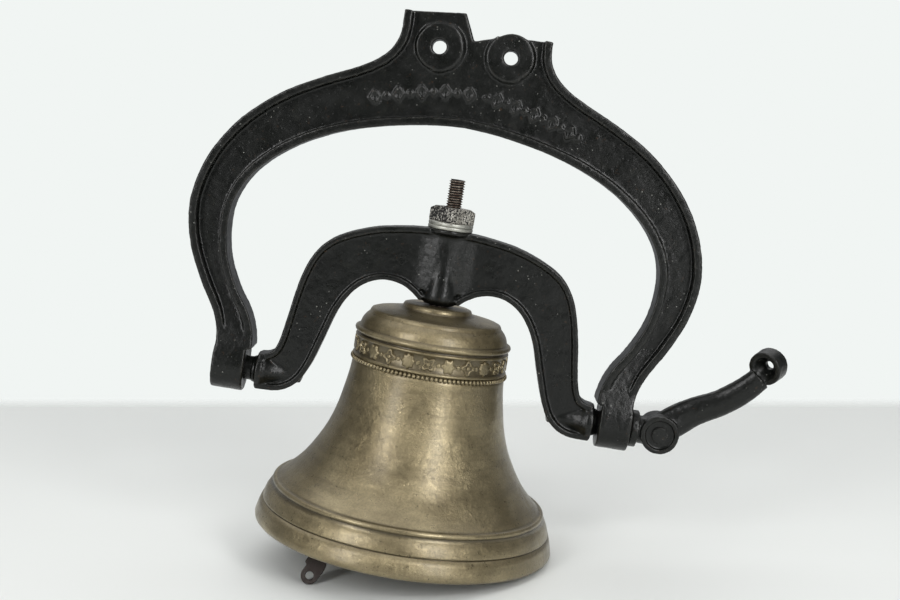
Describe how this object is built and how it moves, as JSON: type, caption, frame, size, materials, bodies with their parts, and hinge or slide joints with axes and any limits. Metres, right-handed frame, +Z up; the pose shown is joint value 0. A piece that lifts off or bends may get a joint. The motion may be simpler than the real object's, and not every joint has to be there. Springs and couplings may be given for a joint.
{
  "type": "yard dinner bell",
  "caption": "Yard bell on an arched yoke that swings in a harp-shaped bolt-on frame, with a pull lever and an inner clapper.",
  "frame": {"origin": "midway between the two flange bolt holes, on the flange's rear mounting face", "axes": "+X along the trunnion axis towards the pull lever, +Y out of the mounting face into the post or beam, +Z up with the flange on top and the bell's mouth down"},
  "size_m": [0.4745, 0.236, 0.4371],
  "materials": {
    "painted_iron": "black enamel, satin, cast texture",
    "aged_bronze": "aged satin, mottled",
    "rusty_steel": "rusty",
    "worn_steel": "pitted, part worn bright",
    "dull_zinc": "dull zinc",
    "forged_iron": "dark brown, rough"
  },
  "bodies": {
    "frame": {"hanger_frame": "painted_iron"},
    "swing": {"yoke": "painted_iron", "bell": "aged_bronze", "center_bolt": "rusty_steel", "square_nut": "worn_steel", "washer_upper": "dull_zinc", "washer_lower": "dull_zinc", "crown_washer": "dull_zinc", "clapper_pin": "rusty_steel", "clapper_cotter": "dull_zinc", "lever": "painted_iron", "lever_rivet": "painted_iron"},
    "clapper": {"clapper": "forged_iron"}
  },
  "joints": [
    {"name": "bell_swing", "type": "hinge", "parent": "frame", "child": "swing", "pos_m": [0, -0.012, -0.268], "axis": [1, 0, 0], "continuous": true},
    {"name": "clapper_swing", "type": "hinge", "parent": "swing", "child": "clapper", "pos_m": [0.002, -0.012, -0.236], "axis": [-0.7547, 0.6561, 0], "range_deg": [-60.3, 0.3]}
  ]
}
